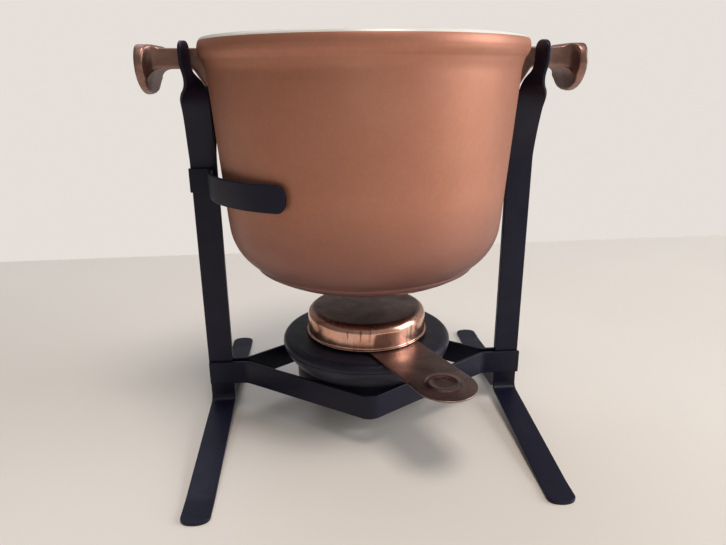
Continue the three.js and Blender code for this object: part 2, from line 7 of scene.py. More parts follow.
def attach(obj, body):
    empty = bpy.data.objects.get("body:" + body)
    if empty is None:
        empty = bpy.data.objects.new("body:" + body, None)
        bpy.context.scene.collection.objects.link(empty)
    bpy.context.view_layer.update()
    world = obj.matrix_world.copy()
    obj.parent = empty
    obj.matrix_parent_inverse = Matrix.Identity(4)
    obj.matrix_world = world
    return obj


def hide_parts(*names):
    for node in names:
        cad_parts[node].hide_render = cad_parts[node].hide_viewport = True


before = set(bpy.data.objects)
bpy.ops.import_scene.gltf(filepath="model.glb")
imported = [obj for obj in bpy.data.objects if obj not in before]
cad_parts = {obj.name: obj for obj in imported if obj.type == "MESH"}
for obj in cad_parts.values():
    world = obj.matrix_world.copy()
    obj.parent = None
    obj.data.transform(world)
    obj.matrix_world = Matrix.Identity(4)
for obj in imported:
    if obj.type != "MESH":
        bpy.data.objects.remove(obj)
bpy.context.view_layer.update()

MM = 0.001

# ---- driving sizes, millimetres, as the CAD has them ---------------------------------------------
STRAP_HALF, STRAP_T, STRAP_EDGE = 7.5, 2.0, 0.55
END_LENGTH, END_POWER = 5.5, 2.4
LEG_X, LEG_TIP_X, LEG_BOW, FOOT_REACH, FOOT_PAD, FOOT_ROOT_Z = 93.0, 94.0, 1.6, 109.0, 17.0, 8.2
BOW_START, BOW_END, RETURN_START, RETURN_END = 166.0, 196.0, 203.0, 217.0
FLARE_START, FLARE_END, FORK_Y = 160.0, 212.0, 22.2
TWIST, TWIST_START, TWIST_END, LEG_TOP = math.radians(84.5), 190.0, 211.5, 226.4
BRACE_Z, BRACE_BEND_X, BRACE_BEND, BRACE_END_X = 28.1, 76.5, 9.0, 101.3
BRACE_FRONT_Y, BRACE_BACK_Y, BRACE_VERTEX_X, BRACE_VERTEX_BEND = 54.8, 60.0, -1.5, 8.0
ARM_Z, ARM_RISE, ARM_HALF, ARM_END_X = 152.0, 1.2, 7.0, 101.3
ARM_X, ARM_R, ARM_SWEEP, ARM_BEND = 17.0, 71.1, 1.196, 3.0
STRAP_BEND, FOOT_EASE = 5.0, 30.0
BURNER = (0.8, 2.2)
HANDLE_TURN = math.radians(24.7) - math.pi / 2


# ---- mesh helpers --------------------------------------------------------------------------------
def smoothstep(u):
    u = min(1.0, max(0.0, u))
    return u * u * (3 - 2 * u)


def new_object(name, verts, faces, smooth=True, weighted=True):
    """A mesh object from millimetre points."""
    mesh = bpy.data.meshes.new(name)
    mesh.from_pydata([tuple(float(c) * MM for c in v) for v in verts], [], faces)
    mesh.validate()
    mesh.update()
    for polygon in mesh.polygons:
        polygon.use_smooth = smooth
    obj = bpy.data.objects.new(name, mesh)
    bpy.context.scene.collection.objects.link(obj)
    if weighted:
        modifier = obj.modifiers.new("normals", "WEIGHTED_NORMAL")
        modifier.keep_sharp = True
    return obj


def arc(cx, cy, rx, ry, a0, a1, steps):
    """Points of an elliptical arc from angle a0 to a1."""
    angles = [a0 + (a1 - a0) * i / steps for i in range(steps + 1)]
    return [(cx + rx * math.cos(a), cy + ry * math.sin(a)) for a in angles]


def lathe(name, profile, sides, centre=(0.0, 0.0), closed=False, wobble=None):
    """Turns a profile of (radius, z) pairs; points on the axis become single vertices."""
    verts, rings = [], []
    for r, z in profile:
        if r < 1e-6:
            rings.append([len(verts)])
            verts.append((centre[0], centre[1], z))
            continue
        ring = []
        for i in range(sides):
            a = 2 * math.pi * i / sides
            out = r + (wobble(a, r) if wobble else 0.0)
            ring.append(len(verts))
            verts.append((centre[0] + out * math.cos(a), centre[1] + out * math.sin(a), z))
        rings.append(ring)
    faces = []
    pairs = list(zip(rings, rings[1:] + ([rings[0]] if closed else [])))
    if not closed:
        pairs = pairs[:len(rings) - 1]
    for lower, upper in pairs:
        for i in range(sides):
            j = (i + 1) % sides
            if len(lower) == 1 and len(upper) == 1:
                continue
            if len(lower) == 1:
                faces.append((lower[0], upper[j], upper[i]))
            elif len(upper) == 1:
                faces.append((lower[i], lower[j], upper[0]))
            else:
                faces.append((lower[i], lower[j], upper[j], upper[i]))
    return new_object(name, verts, faces)


def bent_path(corners, step=0.1):
    """A flat path with rounded corners; each corner is (a, b, bend radius)."""
    path = []
    for i, (a, b, radius) in enumerate(corners):
        here = np.array([a, b], float)
        if i in (0, len(corners) - 1) or not radius:
            path.append(here)
            continue
        before = np.array(corners[i - 1][:2], float) - here
        after = np.array(corners[i + 1][:2], float) - here
        before /= np.linalg.norm(before)
        after /= np.linalg.norm(after)
        half = math.acos(float(before @ after)) / 2
        middle = before + after
        centre = here + middle / np.linalg.norm(middle) * radius / math.sin(half)
        start = here + before * radius / math.tan(half) - centre
        turn = math.pi - 2 * half
        way = -math.copysign(1, before[0] * after[1] - before[1] * after[0])
        steps = max(2, math.ceil(turn / step))
        for k in range(steps + 1):
            c, s = math.cos(way * turn * k / steps), math.sin(way * turn * k / steps)
            path.append(centre + np.array([c * start[0] - s * start[1], s * start[0] + c * start[1]]))
    return path


SECTION_STEPS = 5


def section(h, t, edge):
    """A rounded rectangle of half width h and half thickness t."""
    edge = min(edge, h * 0.95, t * 0.95)
    points = []
    for quarter, (sx, sy) in enumerate(((1, 1), (-1, 1), (-1, -1), (1, -1))):
        cx, cy = sx * (h - edge), sy * (t - edge)
        for k in range(SECTION_STEPS):
            a = math.radians(90 * quarter + 90 * k / (SECTION_STEPS - 1))
            points.append((cx + edge * math.cos(a), cy + edge * math.sin(a)))
    return points


def ribbon(name, stations, round_start, round_end, sx=1, sy=1, h=STRAP_HALF):
    """A strap swept through stations (point, width direction), with rounded or square ends."""
    points = [np.array(p, float) for p, _ in stations]
    widths = [np.array(w, float) for _, w in stations]
    run = [0.0]
    for a, b in zip(points, points[1:]):
        run.append(run[-1] + float(np.linalg.norm(b - a)))
    total = run[-1]
    run = np.array(run)
    P, Wd = np.array(points), np.array(widths)

    def at(s):
        p = np.array([np.interp(s, run, P[:, k]) for k in range(3)])
        w = np.array([np.interp(s, run, Wd[:, k]) for k in range(3)])
        return p, w

    power = 2 / END_POWER
    half_t = STRAP_T / 2
    ends = []
    for a in np.linspace(0.03, 1.53, 20):
        ends.append((END_LENGTH * (1 - math.cos(a) ** power), h * math.sin(a) ** power))
    # A square end is eased over 0.3 mm
    eased = [(0.0, h - 0.3, half_t - 0.3), (0.09, h - 0.09, half_t - 0.09), (0.3, h, half_t)]
    rounded = [(d, w, half_t) for d, w in ends]
    marks = list(rounded if round_start else eased)
    first, last = marks[-1][0] + 0.2, total - (ends[-1][0] if round_end else 0.3) - 0.2
    marks += [(float(s), h, half_t) for s in run if first < s < last]
    marks += [(total - d, w, t) for d, w, t in reversed(rounded if round_end else eased)]
    verts, faces, n = [], [], 4 * SECTION_STEPS
    for s, hw, ht in marks:
        p, w = at(s)
        tangent = at(min(s + 0.4, total))[0] - at(max(s - 0.4, 0.0))[0]
        tangent /= np.linalg.norm(tangent)
        w = w - tangent * float(w @ tangent)
        w /= np.linalg.norm(w)
        t = np.cross(tangent, w)
        for a, b in section(hw, ht, STRAP_EDGE):
            q = p + w * a + t * b
            verts.append((q[0] * sx, q[1] * sy, q[2]))
    count = len(marks)
    flip = sx * sy < 0
    for i in range(count - 1):
        for k in range(n):
            face = (i * n + k, i * n + (k + 1) % n, (i + 1) * n + (k + 1) % n, (i + 1) * n + k)
            faces.append(face[::-1] if flip else face)
    cap = tuple(range(n))
    end = tuple((count - 1) * n + k for k in range(n))
    faces.append(cap if flip else cap[::-1])
    faces.append(end[::-1] if flip else end)
    return new_object(name, verts, faces)


# ---- materials -----------------------------------------------------------------------------------
class Nodes:
    """A small hand for building one material's node tree."""

    def __init__(self, name):
        self.material = bpy.data.materials.new(name)
        self.material.use_nodes = True
        self.tree = self.material.node_tree
        self.shader = self.tree.nodes["Principled BSDF"]
        self.coord = self.tree.nodes.new("ShaderNodeTexCoord")

    def add(self, kind, **values):
        node = self.tree.nodes.new(kind)
        for key, value in values.items():
            node.inputs[key].default_value = value
        return node

    def link(self, a, b):
        self.tree.links.new(a, b)

    def mapped(self, scale=(1, 1, 1), rotation=(0, 0, 0)):
        node = self.tree.nodes.new("ShaderNodeMapping")
        node.inputs["Scale"].default_value = scale
        node.inputs["Rotation"].default_value = rotation
        self.link(self.coord.outputs["Object"], node.inputs["Vector"])
        return node.outputs["Vector"]

    def noise(self, scale, detail=4.0, roughness=0.55, vector=None, distortion=0.0):
        node = self.add("ShaderNodeTexNoise", Scale=scale, Detail=detail)
        node.inputs["Roughness"].default_value = roughness
        node.inputs["Distortion"].default_value = distortion
        self.link(vector or self.coord.outputs["Object"], node.inputs["Vector"])
        return node.outputs["Fac"]

    def ramp(self, source, stops, colour=True):
        node = self.tree.nodes.new("ShaderNodeValToRGB")
        elements = node.color_ramp.elements
        while len(elements) < len(stops):
            elements.new(0.5)
        for element, (at, value) in zip(elements, stops):
            element.position = at
            element.color = (*value, 1) if colour else (value, value, value, 1)
        self.link(source, node.inputs["Fac"])
        return node.outputs["Color"]

    def mix(self, factor, a, b):
        node = self.tree.nodes.new("ShaderNodeMix")
        node.data_type = "RGBA"
        for value, socket in ((factor, node.inputs[0]), (a, node.inputs[6]), (b, node.inputs[7])):
            if isinstance(value, bpy.types.NodeSocket):
                self.link(value, socket)
            elif isinstance(value, (int, float)):
                socket.default_value = value
            else:
                socket.default_value = (*value, 1)
        return node.outputs[2]

    def math(self, operation, a, b, clamp=False):
        node = self.tree.nodes.new("ShaderNodeMath")
        node.operation = operation
        node.use_clamp = clamp
        for value, socket in zip((a, b), node.inputs):
            if isinstance(value, bpy.types.NodeSocket):
                self.link(value, socket)
            else:
                socket.default_value = value
        return node.outputs[0]

    def axis(self, letter):
        node = self.tree.nodes.new("ShaderNodeSeparateXYZ")
        self.link(self.coord.outputs["Object"], node.inputs[0])
        return node.outputs[letter]

    def bump(self, height, strength, distance, base=None):
        node = self.add("ShaderNodeBump", Strength=strength, Distance=distance)
        self.link(height, node.inputs["Height"])
        if base is not None:
            self.link(base, node.inputs["Normal"])
        return node.outputs["Normal"]

    def done(self, colour=None, roughness=None, normal=None, **values):
        for source, socket in ((colour, "Base Color"), (roughness, "Roughness"), (normal, "Normal")):
            if source is not None:
                self.link(source, self.shader.inputs[socket])
        for key, value in values.items():
            self.shader.inputs[key.replace("__", " ")].default_value = value
        return self.material


def black_paint(name, dark, light, grain=1.0):
    m = Nodes(name)
    cloud = m.noise(55, 5, 0.6)
    colour = m.ramp(cloud, [(0.3, dark), (0.72, light)])
    peel = m.noise(900 * grain, 2, 0.5)
    dust = m.noise(2600, 2, 0.6)
    speck = m.ramp(dust, [(0.70, (0, 0, 0)), (0.78, (1, 1, 1))])
    colour = m.mix(m.math("MULTIPLY", speck, 0.12), colour, (0.16, 0.16, 0.18))
    rough = m.ramp(m.noise(130, 4, 0.6), [(0.3, 0.30), (0.7, 0.44)], colour=False)
    normal = m.bump(peel, 0.12, 0.0002)
    return m.done(colour, rough, normal, Metallic=0.0, Specular__IOR__Level=0.25)


def pot_copper():
    m = Nodes("pot_copper")
    broad = m.noise(22, 4, 0.55)
    fine = m.noise(420, 3, 0.6)
    tones = [(0.30, (0.45, 0.182, 0.112)), (0.52, (0.49, 0.205, 0.130)), (0.74, (0.53, 0.232, 0.150))]
    colour = m.ramp(broad, tones)
    glint = m.ramp(fine, [(0.45, 0.0), (0.7, 1.0)], colour=False)
    colour = m.mix(m.math("MULTIPLY", glint, 0.10), colour, (0.64, 0.34, 0.24))
    # The lower wall and the base are painted browner, more so towards the bottom, with a ragged edge
    brown_from, brown_rate = 0.150, 18.0
    low_darkening = m.math("MULTIPLY", m.math("SUBTRACT", brown_from, m.axis("Z")), brown_rate, clamp=True)
    low_darkening = m.math("ADD", low_darkening, m.math("MULTIPLY", m.math("SUBTRACT", m.noise(45, 4), 0.5), 0.25), clamp=True)
    colour = m.mix(low_darkening, colour, (0.150, 0.070, 0.068))
    rough = m.ramp(m.noise(60, 5, 0.6), [(0.3, 0.42), (0.7, 0.52)], colour=False)
    normal = m.bump(fine, 0.12, 0.0003)
    return m.done(colour, rough, normal, Metallic=0.45, IOR=1.5)


def ear_copper():
    m = Nodes("ear_copper")
    cloud = m.noise(85, 5, 0.6, distortion=0.4)
    tones = [(0.30, (0.20, 0.110, 0.092)), (0.5, (0.28, 0.155, 0.125)), (0.72, (0.37, 0.22, 0.18))]
    colour = m.ramp(cloud, tones)
    rough = m.ramp(m.noise(150, 5, 0.6), [(0.3, 0.26), (0.7, 0.42)], colour=False)
    normal = m.bump(m.noise(260, 3), 0.16, 0.0004)
    return m.done(colour, rough, normal, Metallic=0.8, IOR=1.5)


def pale_enamel():
    m = Nodes("pot_enamel")
    colour = m.ramp(m.noise(40, 4, 0.55), [(0.3, (0.80, 0.78, 0.72)), (0.7, (0.86, 0.84, 0.79))])
    rough = m.ramp(m.noise(90, 4), [(0.3, 0.16), (0.7, 0.26)], colour=False)
    normal = m.bump(m.noise(300, 2), 0.05, 0.0003)
    return m.done(colour, rough, normal, Metallic=0.0, IOR=1.5)


def cap_copper():
    m = Nodes("cap_copper")
    tones = [(0.3, (0.72, 0.37, 0.26)), (0.55, (0.80, 0.47, 0.36)), (0.75, (0.60, 0.28, 0.19))]
    bright = m.ramp(m.noise(70, 5, 0.6), tones)
    streaks = m.noise(1.0, 4, 0.7, vector=m.mapped(scale=(420, 420, 26)))
    streak = m.ramp(streaks, [(0.56, 0.0), (0.66, 1.0)], colour=False)
    bright = m.mix(m.math("MULTIPLY", streak, 0.75), bright, (0.10, 0.035, 0.025))
    spots = m.ramp(m.noise(520, 3, 0.6), [(0.66, 0.0), (0.74, 1.0)], colour=False)
    bright = m.mix(m.math("MULTIPLY", spots, 0.6), bright, (0.14, 0.05, 0.035))
    # The top is tarnished dark, with a ragged edge at the shoulder
    tarnish = [(0.30, (0.11, 0.075, 0.07)), (0.5, (0.22, 0.155, 0.14)), (0.72, (0.36, 0.26, 0.235))]
    dark = m.ramp(m.noise(38, 5, 0.6, distortion=0.6), tarnish)
    dark_from, dark_rate = 0.0688, 900.0
    top = m.math("MULTIPLY", m.math("SUBTRACT", m.axis("Z"), dark_from), dark_rate, clamp=True)
    wave = m.math("ADD", top, m.math("MULTIPLY", m.math("SUBTRACT", m.noise(60, 3), 0.5), 0.5), clamp=True)
    colour = m.mix(wave, bright, dark)
    polish = m.ramp(m.noise(160, 5, 0.6), [(0.3, 0.14), (0.7, 0.26)], colour=False)
    rough = m.math("ADD", m.math("MULTIPLY", wave, 0.16), polish)
    normal = m.bump(m.noise(150, 3), 0.10, 0.0004)
    normal = m.bump(streaks, 0.06, 0.0002, normal)
    return m.done(colour, rough, normal, Metallic=1.0)


def handle_copper():
    m = Nodes("handle_copper")
    cloud = m.noise(48, 5, 0.6, distortion=0.8)
    tones = [(0.28, (0.17, 0.122, 0.114)), (0.5, (0.26, 0.187, 0.172)), (0.72, (0.38, 0.275, 0.252))]
    colour = m.ramp(cloud, tones)
    along = m.mapped(scale=(900, 60, 200), rotation=(0, 0, -HANDLE_TURN))
    scratch = m.ramp(m.noise(1.0, 3, 0.6, vector=along), [(0.62, 0.0), (0.7, 1.0)], colour=False)
    colour = m.mix(m.math("MULTIPLY", scratch, 0.25), colour, (0.55, 0.36, 0.27))
    rough = m.ramp(m.noise(120, 5, 0.6), [(0.3, 0.24), (0.7, 0.40)], colour=False)
    normal = m.bump(m.noise(110, 3), 0.12, 0.0004)
    return m.done(colour, rough, normal, Metallic=1.0)


def gauze_steel():
    m = Nodes("gauze_steel")
    weave = []
    for turn in (0.0, math.pi / 2):
        wave = m.add("ShaderNodeTexWave", Scale=260.0, Distortion=0.0)
        m.link(m.mapped(rotation=(0, 0, turn)), wave.inputs["Vector"])
        weave.append(wave.outputs["Fac"])
    height = m.math("MAXIMUM", *weave)
    colour = m.ramp(height, [(0.25, (0.03, 0.028, 0.026)), (0.7, (0.42, 0.40, 0.38))])
    rough = m.ramp(m.noise(200), [(0.3, 0.35), (0.7, 0.55)], colour=False)
    return m.done(colour, rough, m.bump(height, 0.8, 0.0006), Metallic=0.9)


def pad_wool():
    m = Nodes("pad_wool")
    fibre = m.noise(700, 6, 0.75)
    colour = m.ramp(fibre, [(0.3, (0.50, 0.46, 0.38)), (0.7, (0.80, 0.76, 0.68))])
    rough = m.ramp(fibre, [(0.3, 0.85), (0.7, 1.0)], colour=False)
    return m.done(colour, rough, m.bump(fibre, 0.7, 0.001), Metallic=0.0)


STAND = black_paint("stand_paint", (0.006, 0.006, 0.018), (0.010, 0.010, 0.028))
BURNER_BLACK = black_paint("burner_paint", (0.016, 0.015, 0.028), (0.032, 0.029, 0.048), 0.7)
POT, EAR, ENAMEL, CAP, HANDLE = pot_copper(), ear_copper(), pale_enamel(), cap_copper(), handle_copper()
GAUZE, PAD = gauze_steel(), pad_wool()


def place(obj, materials, body, node):
    """Gives an object its materials, and sets it on its body in place of a CAD node."""
    obj.data.materials.clear()
    for material in materials:
        obj.data.materials.append(material)
    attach(obj, body)
    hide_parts(node)


# ---- stand ---------------------------------------------------------------------------------------
def leg_stations():
    inset = STRAP_T / 2
    lower = bent_path([
        (-FOOT_REACH, inset, 0),
        (-FOOT_REACH + FOOT_PAD, inset, FOOT_EASE),
        (-inset, FOOT_ROOT_Z, STRAP_BEND),
        (-inset, FLARE_START, 0),
    ])
    stations = [((LEG_X, q[0], q[1]), (1, 0, 0)) for q in lower]
    steps = 110
    for i in range(1, steps + 1):
        z = FLARE_START + (LEG_TOP - FLARE_START) * i / steps
        flare = smoothstep((z - FLARE_START) / (FLARE_END - FLARE_START))
        bow = smoothstep((z - BOW_START) / (BOW_END - BOW_START))
        back = smoothstep((z - RETURN_START) / (RETURN_END - RETURN_START))
        turn = TWIST * smoothstep((z - TWIST_START) / (TWIST_END - TWIST_START))
        x = LEG_X - LEG_BOW * bow + (LEG_TIP_X - LEG_X + LEG_BOW) * back
        stations.append(((x, -inset - (FORK_Y - inset) * flare, z), (math.cos(turn), -math.sin(turn), 0)))
    return stations


def add_strap(node, *shape):
    place(ribbon("visual_" + node, *shape), [STAND], "stand", node)


for depth, sy in (("front", 1), ("back", -1)):
    for side, sx in (("right", 1), ("left", -1)):
        add_strap("leg_" + depth + "_" + side, leg_stations(), True, True, sx, sy)


def brace_stations(vertex_y, vertex_x):
    face = STRAP_T * 1.5
    plan = bent_path([
        (-BRACE_END_X + 1, -face, 0),
        (-BRACE_BEND_X, -face, BRACE_BEND),
        (vertex_x, -vertex_y, BRACE_VERTEX_BEND),
        (BRACE_BEND_X, -face, BRACE_BEND),
        (BRACE_END_X, -face, 0),
    ])
    return [((q[0], q[1], BRACE_Z), (0, 0, 1)) for q in plan]


add_strap("brace_front", brace_stations(BRACE_FRONT_Y, BRACE_VERTEX_X), False, False)
add_strap("brace_back", brace_stations(BRACE_BACK_Y, 0.0), False, False, -1, -1)


def arm_stations():
    face = STRAP_T * 1.5
    bend_x, arc_y = -ARM_X - ARM_R, -face - ARM_BEND
    corner = bent_path([(-ARM_END_X, -face, 0), (bend_x, -face, ARM_BEND), (bend_x, arc_y - 1, 0)])
    stations = [((q[0], q[1], ARM_Z), (0, 0, 1)) for q in corner[:-1]]
    steps = 60
    for i in range(1, steps + 1):
        a = ARM_SWEEP * i / steps
        at = (-ARM_X - ARM_R * math.cos(a), arc_y - ARM_R * math.sin(a), ARM_Z + ARM_RISE * i / steps)
        stations.append((at, (0, 0, 1)))
    return stations


add_strap("arm_front_left", arm_stations(), False, True, 1, 1, ARM_HALF)
add_strap("arm_back_right", arm_stations(), False, True, -1, -1, ARM_HALF)


# ---- pot -----------------------------------------------------------------------------------------
POT_TOP, POT_BASE, LIP_R, LIP_Z, SHOULDER_R, SHOULDER_Z = 228.0, 93.2, 90.0, 222.5, 86.2, 212.0
BELLY_R, BELLY_Z, CORNER_X, CORNER_Z, CORNER_ROUND = 80.4, 131.7, 50.1, 129.0, 29.9
CORNER_END, BASE_R, DISC_R, DISC_EDGE, DOME = math.radians(57), 39.4, 66.4, 1.9, 0.0124
SLOPE = (SHOULDER_R - BELLY_R) / (SHOULDER_Z - BELLY_Z)
POT_WALL, POT_FLOOR, LIP_ROUND, COPPER_EDGE_Z, POT_SIDES = 2.5, 3.0, 3.0, 226.2, 192


def spline(points, steps):
    """A Catmull-Rom curve through the points."""
    pts = [np.array(p, float) for p in points]
    pts = [2 * pts[0] - pts[1]] + pts + [2 * pts[-1] - pts[-2]]
    out = []
    for i in range(1, len(pts) - 2):
        p0, p1, p2, p3 = pts[i - 1:i + 3]
        for k in range(steps):
            t = k / steps
            square = (2 * p0 - 5 * p1 + 4 * p2 - p3) * t * t
            cube = (3 * p1 - p0 - 3 * p2 + p3) * t ** 3
            out.append(tuple(0.5 * (2 * p1 + (p2 - p0) * t + square + cube)))
    out.append(tuple(pts[-2]))
    return out


def dome_z(r):
    """Level of the pot's domed base at a radius outside its flat middle."""
    return POT_BASE + DOME * (r - BASE_R) ** 2


def dome(edge, lift, steps):
    return [(r, dome_z(r) + lift) for r in np.linspace(BASE_R, edge, steps)]


def pot_outer():
    disc_top = CORNER_Z - CORNER_ROUND * math.sin(CORNER_END)
    disc_r = DISC_R - DISC_EDGE
    disc = spline([(disc_r, dome_z(disc_r)), (DISC_R - 0.6, disc_top - 2),
                   (DISC_R, disc_top - 0.6), (DISC_R - 0.1, disc_top)], 4)
    corner = arc(CORNER_X, CORNER_Z, CORNER_ROUND, CORNER_ROUND, -CORNER_END, -SLOPE, 26)
    wall = [(BELLY_R + SLOPE * (z - BELLY_Z), z) for z in np.linspace(BELLY_Z, SHOULDER_Z - 6, 22)]
    r, z = SHOULDER_R, SHOULDER_Z
    flare = spline([(r - 0.35, z - 5), (r, z), (r + 0.8, z + 3.3), (r + 1.4, z + 5.2), (r + 2.5, z + 6.6),
                    (LIP_R - 0.4, z + 8.3), (LIP_R - 0.01, LIP_Z)], 4)
    lip = arc(LIP_R - LIP_ROUND, LIP_Z, LIP_ROUND, POT_TOP - LIP_Z, 0, math.pi / 2, 16)
    base = [(0, POT_BASE)] + dome(disc_r, 0, 14)[:-1] + disc[:-1]
    return base + corner + wall + flare[:-1] + lip


def pot_inner():
    inner_round = CORNER_ROUND - POT_WALL
    corner = arc(CORNER_X, CORNER_Z, inner_round, inner_round, -SLOPE, -CORNER_END, 22)
    top = spline([(LIP_R - 4.4, POT_TOP - 0.35), (SHOULDER_R - 1.9, POT_TOP - 1.6),
                  (SHOULDER_R - 2.3, POT_TOP - 4.5), (SHOULDER_R - POT_WALL, SHOULDER_Z)], 4)
    floor = dome(DISC_R - POT_WALL - DISC_EDGE, POT_FLOOR, 14)[::-1]
    return top + corner + floor + [(0, POT_BASE + POT_FLOOR)]


outer = pot_outer()
pot = lathe("visual_pot_body", outer + pot_inner(), POT_SIDES)
place(pot, [POT, ENAMEL], "pot", "pot_body")
# The pale lining covers the inside and the top of the lip
for polygon in pot.data.polygons:
    inside = polygon.index // POT_SIDES >= len(outer) - 1
    polygon.material_index = 1 if inside or polygon.center.z > COPPER_EDGE_Z * MM else 0


def wall_radius(z):
    zs = [p[1] for p in outer[1:]]
    rs = [p[0] for p in outer[1:]]
    return float(np.interp(z, zs, rs))


EAR_NEAR_WALL, EAR_LET_IN, EAR_VOXEL, EAR_SMOOTHING = 0.7, 1.2, 0.6, 14


def cast_ear(node, name):
    """The ear's solid let into the wall, its edges softened as a casting's are."""
    source = bpy.data.objects[node]
    mesh = source.data.copy()
    for v in mesh.vertices:
        x, y, z = (c / MM for c in v.co)
        r = math.hypot(x, y)
        if abs(r - wall_radius(z)) < EAR_NEAR_WALL:
            k = (r - EAR_LET_IN) / r
            v.co = Vector((x * k * MM, y * k * MM, v.co.z))
    obj = bpy.data.objects.new(name, mesh)
    bpy.context.scene.collection.objects.link(obj)
    remesh = obj.modifiers.new("remesh", "REMESH")
    remesh.mode = "VOXEL"
    remesh.voxel_size = EAR_VOXEL * MM
    smooth = obj.modifiers.new("smooth", "SMOOTH")
    smooth.factor = 0.5
    smooth.iterations = EAR_SMOOTHING
    depsgraph = bpy.context.evaluated_depsgraph_get()
    done = bpy.data.meshes.new_from_object(obj.evaluated_get(depsgraph))
    obj.modifiers.clear()
    obj.data = done
    for polygon in done.polygons:
        polygon.use_smooth = True
    return obj


for side in ("right", "left"):
    node = "pot_ear_" + side
    place(cast_ear(node, "visual_" + node), [EAR], "pot", node)


# ---- burner --------------------------------------------------------------------------------------
PAN_R, PAN_Z0, PAN_Z1, PAN_ROUND = 44.8, 22.0, 36.2, 3.0
RIDGE_R, RIDGE_Z, FLANGE_R, SEAM_Z, SHELL = 50.0, 41.5, 53.3, 48.0, 1.2
COVER_Z, COVER_ROUND, NECK_R = 52.8, 4.2, 31.0
BURNER_SIDES = 160


def pan_profile():
    drum = PAN_R - PAN_ROUND
    inner_round = PAN_ROUND - SHELL
    outside = [(0, PAN_Z0)] + arc(drum, PAN_Z0 + PAN_ROUND, PAN_ROUND, PAN_ROUND, -math.pi / 2, 0, 8)
    outside += [(PAN_R, PAN_Z1 - 0.4)] + arc(PAN_R + 0.4, PAN_Z1 - 0.4, 0.4, 0.4, math.pi, math.pi / 2, 3)
    outside += [(PAN_R + 1.6, PAN_Z1)]
    ridge = [(RIDGE_R - 1.1, RIDGE_Z - 2.0), (RIDGE_R - 0.4, RIDGE_Z - 0.9), (RIDGE_R + 0.2, RIDGE_Z)]
    flange = [(FLANGE_R - 1.6, SEAM_Z - 4.4), (FLANGE_R - 0.5, SEAM_Z - 2), (FLANGE_R, SEAM_Z)]
    outside += spline(ridge + flange, 4)
    inside = [(FLANGE_R - SHELL, SEAM_Z), (FLANGE_R - 1 - SHELL, SEAM_Z - 2.6)]
    inside += [(RIDGE_R - SHELL, RIDGE_Z + 0.4), (PAN_R + 1, PAN_Z1 + SHELL), (PAN_R - SHELL, PAN_Z1 + SHELL)]
    inside += arc(drum, PAN_Z0 + PAN_ROUND, inner_round, inner_round, 0, -math.pi / 2, 5)
    return outside + inside + [(0, PAN_Z0 + SHELL)]


def cover_profile():
    bore = NECK_R - SHELL - 0.3
    x, z, inner_round = FLANGE_R - COVER_ROUND, COVER_Z - COVER_ROUND, COVER_ROUND - SHELL
    outside = [(FLANGE_R, SEAM_Z + 0.1)] + arc(x, z, COVER_ROUND, COVER_ROUND, 0, math.pi / 2, 12)
    outside += [(bore + 0.3, COVER_Z), (bore, COVER_Z - 0.3), (bore, COVER_Z - SHELL)]
    inside = arc(x, z, inner_round, inner_round, math.pi / 2, 0, 6)
    return outside + inside + [(FLANGE_R - SHELL, SEAM_Z + 0.1)]


pan = lathe("visual_burner_pan", pan_profile(), BURNER_SIDES, BURNER)
place(pan, [BURNER_BLACK], "burner", "burner_pan")
cover = lathe("visual_burner_cover", cover_profile(), BURNER_SIDES, BURNER, closed=True)
place(cover, [BURNER_BLACK], "burner", "burner_cover")

CAP_R, CAP_TOP, CAP_LIP_Z, CAP_ROUND, CAP_WALL, CAP_SIDES = 37.3, 70.0, 54.5, 5.5, 1.0, 192


def cap_profile():
    x, z, inner_round = CAP_R - CAP_ROUND, CAP_TOP - CAP_ROUND, CAP_ROUND - CAP_WALL
    inside = [(0, CAP_TOP - CAP_WALL)] + arc(x, z, inner_round, inner_round, math.pi / 2, 0, 8)
    bead = [(CAP_R - CAP_WALL, CAP_LIP_Z), (CAP_R + 0.6, CAP_LIP_Z)]
    bead += arc(CAP_R + 0.4, CAP_LIP_Z + 0.5, 0.5, 0.5, -math.pi / 2, math.pi / 2, 6)
    bead += [(CAP_R + 0.15, CAP_LIP_Z + 1.25), (CAP_R, CAP_LIP_Z + 1.6)]
    wall = [(CAP_R, height) for height in np.linspace(CAP_LIP_Z + 2.5, z - 0.2, 6)]
    shoulder = arc(x, z, CAP_ROUND, CAP_ROUND, 0, math.pi / 2, 16)
    return inside + bead + wall + shoulder + [(r, CAP_TOP) for r in (24, 17, 9, 0)]


def dents(a, r):
    """How far the cap's wall stands out of round at an angle."""
    if r < 30:
        return 0.0
    return 0.12 * math.sin(3 * a + 1.0) + 0.06 * math.sin(11 * a + 0.4) + 0.04 * math.sin(23 * a)


cap = lathe("visual_snuffer_cap", cap_profile(), CAP_SIDES, BURNER, wobble=dents)
place(cap, [CAP], "snuffer", "snuffer_cap")

HANDLE_INNER, HANDLE_REACH, HANDLE_HALF = 33.6, 102.8, 17.0
HANDLE_BOTTOM, HANDLE_TOP, HANDLE_DROOP = 53.25, 54.25, 0.0162
HANDLE_TIP_X = HANDLE_REACH - HANDLE_HALF
EDGE_ROUND, RING_AT, RING_R, RING_WIDTH, RING_HEIGHT = 0.5, 83.8, 8.0, 1.5, 0.66


